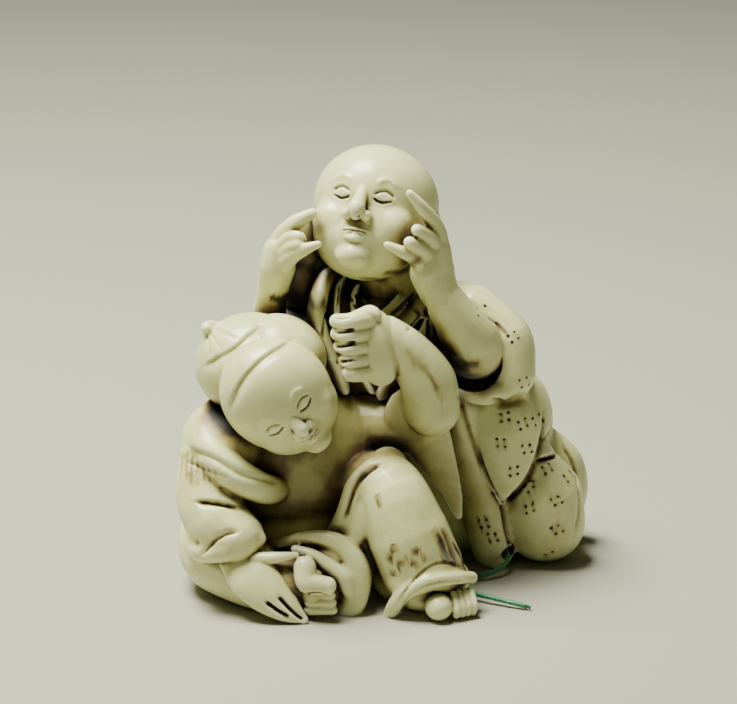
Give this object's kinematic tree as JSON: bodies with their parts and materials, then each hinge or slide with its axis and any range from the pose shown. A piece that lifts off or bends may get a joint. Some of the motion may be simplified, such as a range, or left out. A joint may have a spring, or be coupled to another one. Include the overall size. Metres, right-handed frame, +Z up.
{
  "type": "netsuke",
  "caption": "Carved okimono-style netsuke of a kneeling shaven-headed man behind a seated boy in a headcloth, in one piece, with a short silk cord in its cord hole.",
  "frame": {"origin": "a point on the flat underside of the carving, below the middle of the group", "axes": "+Z up, the figures face -Y, +X is to the right of a viewer in front of them; the group is shallowest along Y"},
  "size_m": [0.046, 0.0359, 0.0475],
  "materials": {
    "ivory": "polished carved ivory, cream, stained brown in the recesses",
    "silk": "thin green silk cord, twisted, slightly glossy"
  },
  "bodies": {
    "root": {"carved_group": "ivory", "cord": "silk"}
  },
  "joints": []
}
